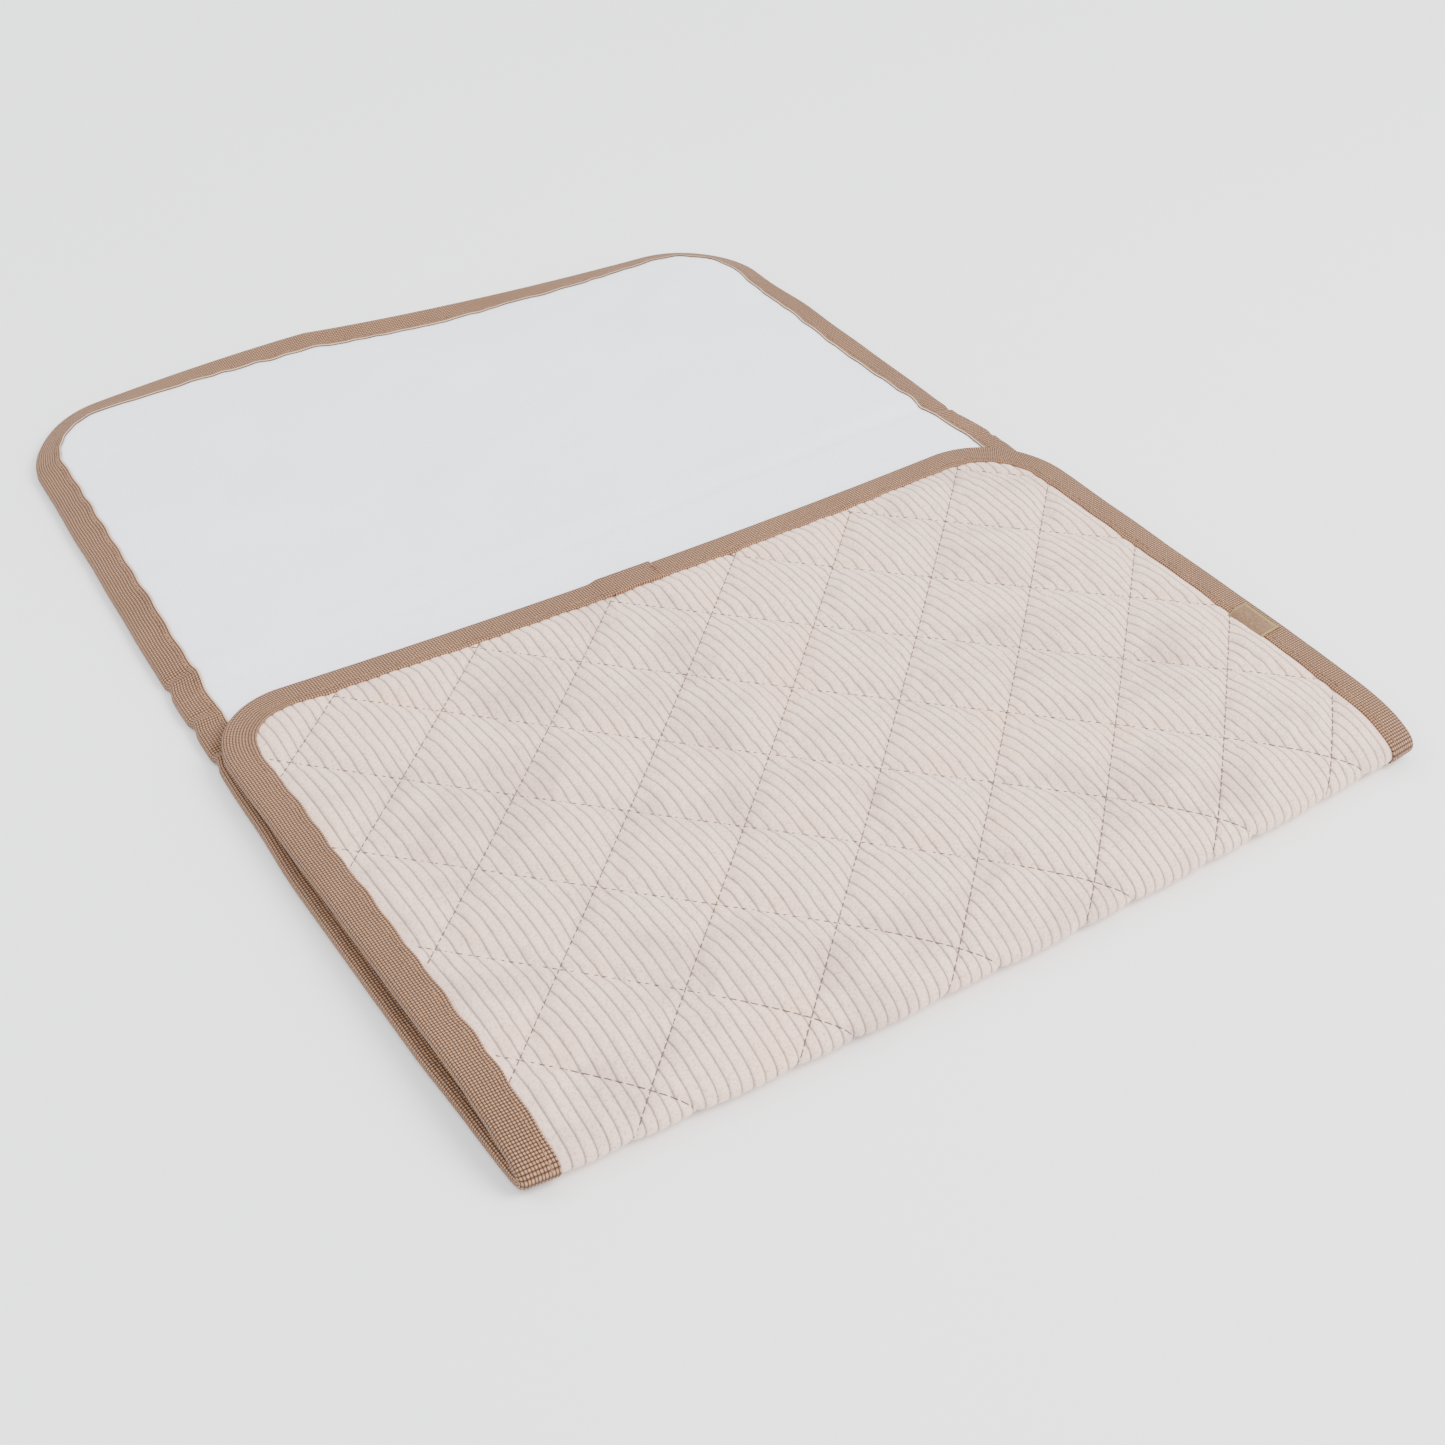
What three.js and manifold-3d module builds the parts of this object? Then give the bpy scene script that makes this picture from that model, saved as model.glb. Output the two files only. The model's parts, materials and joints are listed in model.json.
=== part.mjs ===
// Folding baby changing mat: a quilted corduroy shell, wadding and a wipe-clean lining, bound
// all round with one woven tape. It folds in three. It is modelled at rest as it is half
// opened: the front third is folded back over the middle third, and the back third lies flat.
//
// Every layer is drawn once, flat, for the whole mat. It is then cut into five stretches that
// fold against each other: front panel, front spine, middle panel, back spine, back panel.
// Flat frame: x across the mat, y along it with 0 at the front crease, z up from the floor,
// corduroy side down. Millimetres, +Z up.

import * as THREE from "three";
import { mergeVertices } from "three/addons/utils/BufferGeometryUtils.js";
import Module from "manifold-3d";

const wasm = await Module();
wasm.setup();

// ---- Driving dimensions ----
const MAT_WIDTH = 350;
const CORNER_RADIUS = 36;
const FRONT_LENGTH = 221; // front panel, crease to edge
const MIDDLE_LENGTH = 225.5; // middle panel, crease to crease
const BACK_LENGTH = 190; // back panel, crease to edge
const FRONT_SPINE = 10.8; // strip between the two front creases
const BACK_SPINE = 20; // strip between the two back creases
const FRONT_TILT = 1.4; // degrees the folded front panel slopes down from its fold

const TAPE_THICKNESS = 0.7;
const TAPE_WIDTH = 11.5; // what shows of the folded tape on each face
const SHELL_THICKNESS = 0.8;
const WADDING_THICKNESS = 1.2;
const LINING_THICKNESS = 0.4;
const GAP = 0.3; // air between neighbouring pieces
const CREASE_GAP = 0.3; // each stretch stops this far short of its crease

const LAP_END_X = 2; // where the finishing end of the tape stops, on the front panel's edge
const LAP_LENGTH = 22;
const LAP_THICKNESS = 0.6;
const LABEL_LENGTH = 20;
const LABEL_WIDTH = 8;
const LABEL_THICKNESS = 0.5;
const LABEL_FROM_FOLD = 72; // fold to the label's middle

// ---- Worked-out heights and places ----
const shellBottom = TAPE_THICKNESS + GAP;
const waddingBottom = shellBottom + SHELL_THICKNESS + GAP;
const liningBottom = waddingBottom + WADDING_THICKNESS + GAP;
const THICKNESS = liningBottom + LINING_THICKNESS + GAP + TAPE_THICKNESS;
const neutral = THICKNESS / 2; // height of every crease axis
const layerInset = TAPE_THICKNESS + GAP; // the layers' edges stand inside the tape

const frontCrease = -FRONT_SPINE;
const frontEdge = frontCrease - FRONT_LENGTH;
const backSpineEnd = MIDDLE_LENGTH + BACK_SPINE;
const backEdge = backSpineEnd + BACK_LENGTH;
const restDepth = neutral + backEdge; // from the folded front to the back edge
const creaseY = neutral - restDepth / 2; // puts the origin under the middle of the mat at rest

const CORNER_SEGMENTS = 12;
const BEYOND = 5; // cutters reach this far past what they cut

// ---- Materials ----
function cloth(color, roughness) {
  return new THREE.MeshStandardMaterial({ color, roughness, metalness: 0 });
}
const corduroy = cloth(0xe9dcd3, 0.95);
const wadding = cloth(0xf4f2ee, 1.0);
const lining = cloth(0xf3f3f7, 0.7);
const binding = cloth(0xb0876a, 0.85);
const label = cloth(0xa89a72, 0.8);

// ---- Solids ----
function solidOf(geometry) {
  geometry.deleteAttribute("normal");
  geometry.deleteAttribute("uv");
  const merged = mergeVertices(geometry, 1e-4);
  return new wasm.Manifold(
    new wasm.Mesh({
      numProp: 3,
      vertProperties: merged.attributes.position.array,
      triVerts: new Uint32Array(merged.index.array),
    }),
  );
}

function geometryOf(solid) {
  const mesh = solid.getMesh();
  const positions = new Float32Array(mesh.numVert * 3);
  for (let i = 0; i < mesh.numVert; i++) {
    const start = i * mesh.numProp;
    positions.set(mesh.vertProperties.subarray(start, start + 3), i * 3);
  }
  const geometry = new THREE.BufferGeometry();
  geometry.setAttribute("position", new THREE.BufferAttribute(positions, 3));
  geometry.setIndex(new THREE.BufferAttribute(new Uint32Array(mesh.triVerts), 1));
  geometry.computeVertexNormals();
  return geometry;
}

// The mat's outline, moved in by inset, between two heights.
function slab(inset, bottom, top) {
  const x = MAT_WIDTH / 2 - inset;
  const low = frontEdge + inset;
  const high = backEdge - inset;
  const r = CORNER_RADIUS - inset;
  const outline = new THREE.Shape();
  outline.moveTo(-x + r, low);
  outline.lineTo(x - r, low);
  outline.absarc(x - r, low + r, r, -Math.PI / 2, 0, false);
  outline.lineTo(x, high - r);
  outline.absarc(x - r, high - r, r, 0, Math.PI / 2, false);
  outline.lineTo(-x + r, high);
  outline.absarc(-x + r, high - r, r, Math.PI / 2, Math.PI, false);
  outline.lineTo(-x, low + r);
  outline.absarc(-x + r, low + r, r, Math.PI, (3 * Math.PI) / 2, false);
  const geometry = new THREE.ExtrudeGeometry(outline, {
    depth: top - bottom,
    bevelEnabled: false,
    curveSegments: CORNER_SEGMENTS,
  });
  geometry.translate(0, 0, bottom);
  return solidOf(geometry);
}

function box(x0, x1, y0, y1, z0, z1) {
  const geometry = new THREE.BoxGeometry(x1 - x0, y1 - y0, z1 - z0);
  geometry.translate((x0 + x1) / 2, (y0 + y1) / 2, (z0 + z1) / 2);
  return solidOf(geometry);
}

// The stretch of the mat from one crease to the next. Below the crease axis an end is square;
// above it the end slopes away, so that the two sides of a closed crease meet without touching.
function stretch(start, end, startFolds, endFolds) {
  const low = startFolds ? start + CREASE_GAP : start - BEYOND;
  const high = endFolds ? end - CREASE_GAP : end + BEYOND;
  const slope = (side) => (side ? neutral + BEYOND : 0);
  const profile = new THREE.Shape();
  profile.moveTo(low, -BEYOND);
  profile.lineTo(high, -BEYOND);
  profile.lineTo(high, neutral);
  if (startFolds && endFolds && high - low < 2 * (neutral + BEYOND)) {
    // a short spine: its two slopes would cross, so they stop at the top face
    profile.lineTo(high - neutral, THICKNESS);
    profile.lineTo(low + neutral, THICKNESS);
  } else {
    profile.lineTo(high - slope(endFolds), THICKNESS + BEYOND);
    profile.lineTo(low + slope(startFolds), THICKNESS + BEYOND);
  }
  profile.lineTo(low, neutral);
  const across = MAT_WIDTH + 2 * BEYOND;
  const geometry = new THREE.ExtrudeGeometry(profile, { depth: across, bevelEnabled: false });
  const turned = new THREE.Matrix4().makeBasis(
    new THREE.Vector3(0, 1, 0),
    new THREE.Vector3(0, 0, 1),
    new THREE.Vector3(1, 0, 0),
  );
  geometry.applyMatrix4(turned);
  geometry.translate(-across / 2, 0, 0);
  return solidOf(geometry);
}

// ---- The whole mat's layers, flat ----
// The quilted shell swells down to the tape's own level between the bound edges.
const wholeShell = slab(layerInset, shellBottom, shellBottom + SHELL_THICKNESS).add(
  slab(TAPE_WIDTH + GAP, 0, shellBottom + SHELL_THICKNESS),
);
const wholeWadding = slab(layerInset, waddingBottom, waddingBottom + WADDING_THICKNESS);
const wholeLining = slab(layerInset, liningBottom, liningBottom + LINING_THICKNESS);

// The tape is folded round the edge as a channel: two faces and the strip between them.
const wholeBinding = slab(0, 0, THICKNESS)
  .subtract(slab(TAPE_WIDTH, -BEYOND, THICKNESS + BEYOND))
  .subtract(slab(TAPE_THICKNESS, TAPE_THICKNESS, THICKNESS - TAPE_THICKNESS));

const halfWidth = MAT_WIDTH / 2 + BEYOND;
function side(fromX, toX) {
  return box(fromX, toX, frontEdge - BEYOND, backEdge + BEYOND, -BEYOND, THICKNESS + BEYOND);
}

// ---- Stretches as groups of named meshes ----
function addMesh(group, name, solid, material) {
  const mesh = new THREE.Mesh(geometryOf(solid), material);
  mesh.name = name;
  group.add(mesh);
}

function addLayers(group, name, zone) {
  addMesh(group, `${name}_corduroy_shell`, wholeShell.intersect(zone), corduroy);
  addMesh(group, `${name}_wadding`, wholeWadding.intersect(zone), wadding);
  addMesh(group, `${name}_lining`, wholeLining.intersect(zone), lining);
}

function addSideBindings(group, name, zone) {
  const bound = wholeBinding.intersect(zone);
  addMesh(group, `${name}_binding_left`, bound.intersect(side(-halfWidth, 0)), binding);
  addMesh(group, `${name}_binding_right`, bound.intersect(side(0, halfWidth)), binding);
}

function middlePanel(group) {
  const zone = stretch(0, MIDDLE_LENGTH, true, true);
  addLayers(group, "middle", zone);
  addSideBindings(group, "middle", zone);
}

function frontSpine(group) {
  const zone = stretch(frontCrease, 0, true, true);
  addLayers(group, "front_spine", zone);
  addSideBindings(group, "front_spine", zone);
}

function backSpine(group) {
  const zone = stretch(MIDDLE_LENGTH, backSpineEnd, true, true);
  addLayers(group, "back_spine", zone);
  addSideBindings(group, "back_spine", zone);
}

function backPanel(group) {
  const zone = stretch(backSpineEnd, backEdge, true, false);
  addLayers(group, "back", zone);
  addMesh(group, "back_binding", wholeBinding.intersect(zone), binding);
}

// The tape starts and ends on the front panel's edge. Its finishing end, from the left, laps
// over the starting end on the corduroy face.
function frontPanel(group) {
  const zone = stretch(frontEdge, frontCrease, false, true);
  addLayers(group, "front", zone);

  const bound = wholeBinding.intersect(zone);
  const startX = LAP_END_X - LAP_LENGTH;
  const lapInner = frontEdge + TAPE_WIDTH;
  const lap = box(startX, LAP_END_X, frontEdge, lapInner, -GAP - LAP_THICKNESS, -GAP);
  const step = box(startX - 2, startX - GAP, frontEdge, lapInner, -GAP - LAP_THICKNESS, GAP);
  const joint = box(startX - 2, startX, frontEdge, lapInner, -GAP - LAP_THICKNESS, -GAP);
  const finishing = bound
    .intersect(side(-halfWidth, startX - GAP))
    .add(step)
    .add(joint)
    .add(lap);
  addMesh(group, "front_binding_finishing_end", finishing, binding);
  const starting = bound.intersect(side(startX, halfWidth));
  addMesh(group, "front_binding_starting_end", starting, binding);

  const labelY = frontCrease - LABEL_FROM_FOLD;
  const labelX = MAT_WIDTH / 2 - TAPE_WIDTH + 1;
  const tag = box(
    labelX,
    labelX + LABEL_WIDTH,
    labelY - LABEL_LENGTH / 2,
    labelY + LABEL_LENGTH / 2,
    -GAP - LABEL_THICKNESS,
    -GAP,
  );
  addMesh(group, "side_label", tag, label);
}

// A group whose contents, drawn in the flat frame, turn about a crease at y.
function foldAt(parent, y, degrees) {
  const pivot = new THREE.Group();
  pivot.position.set(0, y, neutral);
  pivot.rotation.x = THREE.MathUtils.degToRad(degrees);
  parent.add(pivot);
  const flat = new THREE.Group();
  flat.position.set(0, -y, -neutral);
  pivot.add(flat);
  return flat;
}

// ---- The mat at rest ----
const mat = new THREE.Group();
mat.position.y = creaseY;
middlePanel(mat);
const frontSpineGroup = foldAt(mat, 0, -90);
frontSpine(frontSpineGroup);
frontPanel(foldAt(frontSpineGroup, frontCrease, -90 - FRONT_TILT));
const backSpineGroup = foldAt(mat, MIDDLE_LENGTH, 0);
backSpine(backSpineGroup);
backPanel(foldAt(backSpineGroup, backSpineEnd, 0));

const changingMat = new THREE.Group();
changingMat.add(mat);

export default changingMat;
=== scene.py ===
# Folding baby changing mat: the looks. Every layer is one surface over the flat mat, where x runs
# across it and s along it. s is 0 at the front fold, negative on the folded front panel and
# positive on the middle and back panels. The surfaces are carried onto the fold's path.
import json
import math

import bpy
import numpy as np
from mathutils import Matrix, Vector


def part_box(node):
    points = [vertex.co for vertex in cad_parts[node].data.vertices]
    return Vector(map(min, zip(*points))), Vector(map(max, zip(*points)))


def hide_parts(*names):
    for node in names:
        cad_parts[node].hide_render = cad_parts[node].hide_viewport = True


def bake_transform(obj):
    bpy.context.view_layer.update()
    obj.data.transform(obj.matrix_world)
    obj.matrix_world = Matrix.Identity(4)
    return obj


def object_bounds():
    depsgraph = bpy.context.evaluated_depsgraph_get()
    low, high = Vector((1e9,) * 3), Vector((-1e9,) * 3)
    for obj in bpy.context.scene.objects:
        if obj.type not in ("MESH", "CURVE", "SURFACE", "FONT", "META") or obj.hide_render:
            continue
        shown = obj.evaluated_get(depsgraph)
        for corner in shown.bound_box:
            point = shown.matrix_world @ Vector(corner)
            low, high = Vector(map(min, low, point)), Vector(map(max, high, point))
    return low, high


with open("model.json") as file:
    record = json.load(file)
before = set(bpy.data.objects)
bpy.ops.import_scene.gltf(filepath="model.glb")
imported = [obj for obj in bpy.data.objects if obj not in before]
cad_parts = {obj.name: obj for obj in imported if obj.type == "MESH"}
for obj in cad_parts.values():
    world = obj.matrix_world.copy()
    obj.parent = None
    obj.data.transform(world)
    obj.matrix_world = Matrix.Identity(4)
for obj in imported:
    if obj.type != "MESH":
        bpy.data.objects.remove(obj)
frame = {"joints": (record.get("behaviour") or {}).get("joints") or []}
cad_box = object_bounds()

MM = 0.001
JOINT = {j["name"]: j for j in frame["joints"]}
SIDE = cad_box[1].x / MM  # half the mat's width
FRONT_Y = cad_box[0].y / MM  # where the folded front stands
BACK_Y = cad_box[1].y / MM
BACK_A = JOINT["back_lower_crease"]["pos_m"][1] / MM - FRONT_Y
BACK_B = JOINT["back_upper_crease"]["pos_m"][1] / MM - FRONT_Y
BACK_END = BACK_Y - FRONT_Y
FLAP_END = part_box("front_corduroy_shell")[1].y / MM - FRONT_Y + 2.5

TAPE = 11.5  # width of the folded tape on each face
TAPE_THICK = 0.75
WEAVE = 1.0  # one crossing of the tape's weave
WALE = 3.9  # one corduroy rib
RIB = 0.42  # its height
RIB_FLATNESS = 4.5  # how flat its top is
QUILT_X = 27.0  # half the quilting diamond, across
QUILT_S = 25.2  # half the quilting diamond, along


# ---- Small mathematics ----
def smooth(t):
    t = np.clip(t, 0.0, 1.0)
    return t * t * (3.0 - 2.0 * t)


def hill(x, y, cx, cy, wx, wy):
    return np.exp(-(((x - cx) / wx) ** 2) - ((y - cy) / wy) ** 2)


def waves(x, y, size, seed, octaves=3):
    """Soft seeded noise about -1..1, with features about size across."""
    rng = np.random.default_rng(seed)
    total = np.zeros(np.broadcast(x, y).shape)
    for o in range(octaves):
        for _ in range(6):
            a = rng.uniform(0, 2 * math.pi)
            f = 2 * math.pi / size * (1.7**o) * rng.uniform(0.6, 1.4)
            phase = rng.uniform(0, 2 * math.pi)
            total += np.sin(f * (x * math.cos(a) + y * math.sin(a)) + phase) * 0.6**o
    return total / 6.0


# ---- The path of the mat's middle surface, seen from the side: (distance from the front, height)
def spline(points, per_span=24):
    p = np.array(points, float)
    p = np.vstack([2 * p[0] - p[1], p, 2 * p[-1] - p[-2]])
    out = []
    for i in range(1, len(p) - 2):
        p0, p1, p2, p3 = p[i - 1], p[i], p[i + 1], p[i + 2]
        t0, t1 = 0.0, np.linalg.norm(p1 - p0) ** 0.5
        t2 = t1 + np.linalg.norm(p2 - p1) ** 0.5
        t3 = t2 + np.linalg.norm(p3 - p2) ** 0.5
        t = np.linspace(t1, t2, per_span, endpoint=False)[:, None]
        a1 = (t1 - t) / (t1 - t0) * p0 + (t - t0) / (t1 - t0) * p1
        a2 = (t2 - t) / (t2 - t1) * p1 + (t - t1) / (t2 - t1) * p2
        a3 = (t3 - t) / (t3 - t2) * p2 + (t - t2) / (t3 - t2) * p3
        b1 = (t2 - t) / (t2 - t0) * a1 + (t - t0) / (t2 - t0) * a2
        b2 = (t3 - t) / (t3 - t1) * a2 + (t - t1) / (t3 - t1) * a3
        out.append((t2 - t) / (t2 - t1) * b1 + (t - t1) / (t2 - t1) * b2)
    out.append(p[-2][None])
    return np.vstack(out)


FOLD = (3.4, 5.4)
UPPER = [(FLAP_END, 8.2), (150, 10.2), (90, 12.0), (58, 12.8), (38, 12.9), (23, 12.2)]
UPPER += [(12, 10.4), (6.0, 8.2), (4.0, 6.7)]
LOWER = [(4.2, 4.1), (6.6, 3.1), (11, 2.75), (30, 2.65), (110, 2.65), (195, 2.65)]
LOWER += [(222, 2.8), (238, 3.6), (256, 4.5), (300, 4.7), (370, 4.7), (BACK_END, 4.5)]
path_points = spline(UPPER + [FOLD] + LOWER)
path_s = np.concatenate([[0], np.cumsum(np.linalg.norm(np.diff(path_points, axis=0), axis=1))])
path_s -= path_s[np.argmin(np.linalg.norm(path_points - np.array(FOLD), axis=1))]
S_FRONT, S_BACK = path_s[0], path_s[-1]
S_SPLIT = 112.0  # the middle panel's pieces meet here
direction = np.gradient(path_points, path_s, axis=0)
direction /= np.linalg.norm(direction, axis=1)[:, None]


def on_path(s):
    y = np.interp(s, path_s, path_points[:, 0])
    z = np.interp(s, path_s, path_points[:, 1])
    ty = np.interp(s, path_s, direction[:, 0])
    tz = np.interp(s, path_s, direction[:, 1])
    length = np.hypot(ty, tz)
    return y, z, -tz / length, ty / length


def s_at(y):
    """s of the point of the lower layers that lies y from the front."""
    keep = path_s > 20
    return float(np.interp(y, path_points[keep, 0], path_s[keep]))


def upper_s_at(y):
    """s of the point of the folded front panel that lies y from the front."""
    keep = path_s < -20
    return float(np.interp(-y, -path_points[keep, 0], path_s[keep]))


S_SPINE = s_at((BACK_A + BACK_B) / 2)  # the pieces of the back spine and back panel meet here
QUILT_SHIFT = 5.0  # how far the quilting's crossings sit to the right of the centre
S_NODE = upper_s_at(81.5) - 4.5  # one crossing of the quilting's seams


# ---- The outline: a rectangle with four rounded corners ----
CORNERS = {(-1, -1): 31.0, (1, -1): 38.0, (-1, 1): 38.0, (1, 1): 40.0}


def edge_distance(x, s):
    """How far inside the outline a flat point lies."""
    best = np.full(np.broadcast(x, s).shape, 1e9)
    middle = (S_FRONT + S_BACK) / 2
    for (sx, ss), r in CORNERS.items():
        end = S_FRONT if ss < 0 else S_BACK
        here = (np.sign(x + 1e-9) == sx) & (np.sign(s - middle + 1e-9) == ss)
        ax = np.abs(x) - (SIDE - r)
        ay = np.abs(s - middle) - (abs(end - middle) - r)
        outside = np.hypot(np.maximum(ax, 0), np.maximum(ay, 0))
        inside = np.minimum(np.maximum(ax, ay), 0)
        best = np.where(here, r - outside - inside, best)
    return best


def outline(s0, s1, turn):
    """Flat points and inward normals down one side from s0 to s1, or round an end.
    turn is "left" or "right" for a side, "front" or "back" for the run round that end."""
    if turn in ("left", "right"):
        sx = -1.0 if turn == "left" else 1.0
        s = spaced_s(s0, s1)
        point = np.stack([np.full_like(s, sx * SIDE), s], 1)
        return point, np.tile([-sx, 0.0], (len(s), 1))
    ss = -1 if turn == "front" else 1
    end = S_FRONT if ss < 0 else S_BACK
    points, normals = [], []
    for sx in (-1, 1):
        r = CORNERS[(sx, ss)]
        sides = spaced_s(s0, end - ss * r)
        run = np.stack([np.full_like(sides, sx * SIDE), sides], 1)
        a = np.linspace(0, math.pi / 2, 34)[1:]
        bend = np.stack([sx * (SIDE - r + r * np.cos(a)), end - ss * (r - r * np.sin(a))], 1)
        inward = np.vstack(
            [
                np.tile([-sx, 0.0], (len(sides), 1)),
                np.stack([-sx * np.cos(a), -ss * np.sin(a)], 1),
            ]
        )
        half = np.vstack([run, bend])
        if sx > 0:
            half, inward = half[::-1], inward[::-1]
        points.append(half)
        normals.append(inward)
    x = np.arange(points[0][-1, 0] + 1.6, points[1][0, 0] - 0.8, 1.6)
    straight = np.stack([x, np.full_like(x, end)], 1)
    return (
        np.vstack([points[0], straight, points[1]]),
        np.vstack([normals[0], np.tile([0.0, -ss], (len(x), 1)), normals[1]]),
    )


def spaced_s(s0, s1):
    """Stations from s0 to s1, closer together round the front fold."""
    sign = 1.0 if s1 > s0 else -1.0
    out, s = [s0], s0
    while (s1 - s) * sign > 0:
        s += sign * (0.5 if abs(s) < 22 else 1.6)
        out.append(s)
    out[-1] = s1
    return np.array(out)


# ---- The quilting: one cloth simulation of the padded face, pinned along its seams ----
def seam_distance(x, s):
    p = (x - QUILT_SHIFT) / QUILT_X + (s - S_NODE) / QUILT_S
    m = (x - QUILT_SHIFT) / QUILT_X - (s - S_NODE) / QUILT_S
    unit = 1.0 / math.hypot(1 / QUILT_X, 1 / QUILT_S)
    dp = np.abs(p - 2 * np.round(p / 2)) * unit
    dm = np.abs(m - 2 * np.round(m / 2)) * unit
    return np.minimum(dp, dm), dp, dm


QUILT_CELLS = 12  # cells of the simulated cloth from a seam crossing to the next, each way
SIM_DX, SIM_DS = QUILT_X / QUILT_CELLS, QUILT_S / QUILT_CELLS
SIM_I = np.arange(-80, 79)
SIM_J = np.arange(math.floor((S_FRONT - S_NODE) / SIM_DS), math.ceil((30 - S_NODE) / SIM_DS))


def simulate_quilting():
    """Height of the padding over each point of a grid, in millimetres."""
    x = QUILT_SHIFT + SIM_I * SIM_DX
    s = S_NODE + SIM_J * SIM_DS
    gx, gs = np.meshgrid(x, s)
    rows, cols = gx.shape
    scale = 0.01  # the simulation runs at ten times life size
    co = np.stack([gx * scale, gs * scale, 0.004 * waves(gx, gs, 21, 5)], 2).reshape(-1, 3)
    index = np.arange(rows * cols).reshape(rows, cols)
    quads = np.stack([index[:-1, :-1], index[:-1, 1:], index[1:, 1:], index[1:, :-1]], 2)
    mesh = bpy.data.meshes.new("quilt_sim")
    mesh.from_pydata(co.tolist(), [], quads.reshape(-1, 4).tolist())
    cloth_object = bpy.data.objects.new("quilt_sim", mesh)
    bpy.context.scene.collection.objects.link(cloth_object)
    gi, gj = np.meshgrid(SIM_I, SIM_J)
    repeat = 2 * QUILT_CELLS
    held = ((gi + gj) % repeat == 0) | ((gi - gj) % repeat == 0)
    held[[0, -1], :] = True
    held[:, [0, -1]] = True
    group = cloth_object.vertex_groups.new(name="seams")
    group.add(index[held].tolist(), 1.0, "REPLACE")
    cloth = cloth_object.modifiers.new("cloth", "CLOTH")
    settings = cloth.settings
    settings.quality = 5
    settings.mass = 0.3
    settings.tension_stiffness = 12
    settings.compression_stiffness = 12
    settings.shear_stiffness = 5
    settings.bending_stiffness = 1.2
    settings.vertex_group_mass = "seams"
    settings.shrink_min = -0.055
    settings.use_pressure = True
    settings.uniform_pressure_force = 4.0
    settings.effector_weights.gravity = 0.0
    cloth.collision_settings.use_collision = False
    cloth.point_cache.frame_end = 20
    scene = bpy.context.scene
    for f in range(1, 19):
        scene.frame_set(f)
    evaluated = cloth_object.evaluated_get(bpy.context.evaluated_depsgraph_get())
    out = np.zeros(rows * cols * 3, np.float32)
    evaluated.data.vertices.foreach_get("co", out)
    scene.frame_set(1)
    out = (out.reshape(rows, cols, 3) - co.reshape(rows, cols, 3)) / scale
    bpy.data.objects.remove(cloth_object)
    bpy.data.meshes.remove(mesh)
    rise = np.abs(out[:, :, 2])
    cap = 5.0
    rise = cap * np.tanh(rise / cap)
    return rise


RISE = simulate_quilting()


def sampled(grid, x, s):
    """The grid's value at any flat point, by cubic interpolation."""
    u = np.clip((x - QUILT_SHIFT) / SIM_DX - SIM_I[0], 1.0, len(SIM_I) - 3.001)
    v = np.clip((s - S_NODE) / SIM_DS - SIM_J[0], 1.0, len(SIM_J) - 3.001)
    iu, iv = np.floor(u).astype(int), np.floor(v).astype(int)
    fu, fv = u - iu, v - iv

    def weights(t):
        return (
            0.5 * (-t + 2 * t**2 - t**3),
            0.5 * (2 - 5 * t**2 + 3 * t**3),
            0.5 * (t + 4 * t**2 - 3 * t**3),
            0.5 * (-(t**2) + t**3),
        )

    wu, wv = weights(fu), weights(fv)
    total = 0.0
    for a in range(4):
        row = 0.0
        for b in range(4):
            row = row + wu[b] * grid[iv + a - 1, iu + b - 1]
        total = total + wv[a] * row
    return total


def quilt(grid, x, s):
    """The simulated field anywhere on the mat: past the front it repeats with the seams."""
    period = 8 * QUILT_S
    far = s - period * np.ceil((s + 12) / period)
    t = smooth((s - 5) / 20)
    return (1 - t) * sampled(grid, x, np.minimum(s, 29.0)) + t * sampled(grid, x, far)


# ---- How far each face stands off the middle surface, in millimetres ----
def wale_index(x, s):
    wander = 0.35 * waves(x, s, 46, 11, 2) + 0.12 * waves(x, s, 13, 12, 1)
    return (x + wander) / WALE


def rib(x, s):
    t = wale_index(x, s)
    t = np.abs(t - np.round(t)) * 2  # 0 in the groove, 1 on the rib
    return 1 - (1 - np.clip(t, 0, 1)) ** RIB_FLATNESS


def backness(y):
    return smooth((y - (BACK_A - 8)) / 34)


def tape_width(x, s):
    return TAPE + 0.22 * np.sin((x + s) / 2.6) + 0.25 * waves(x, s, 24, 21, 2)


def crown(x, s):
    """How far the mat's edge sinks below its middle, on the lower layers."""
    y, _, _, _ = on_path(s)
    d = edge_distance(x, s)
    sink = 2.1 * backness(y) * (s > 0)
    sink = sink * (1 - 0.7 * hill(x, y, -10, BACK_END, 90, 40))
    sink = sink * (1 - 0.8 * smooth((x - 120) / 40) * smooth((BACK_END - 50 - y) / 40))
    return -sink * (1 - smooth(d / 20))


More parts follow.
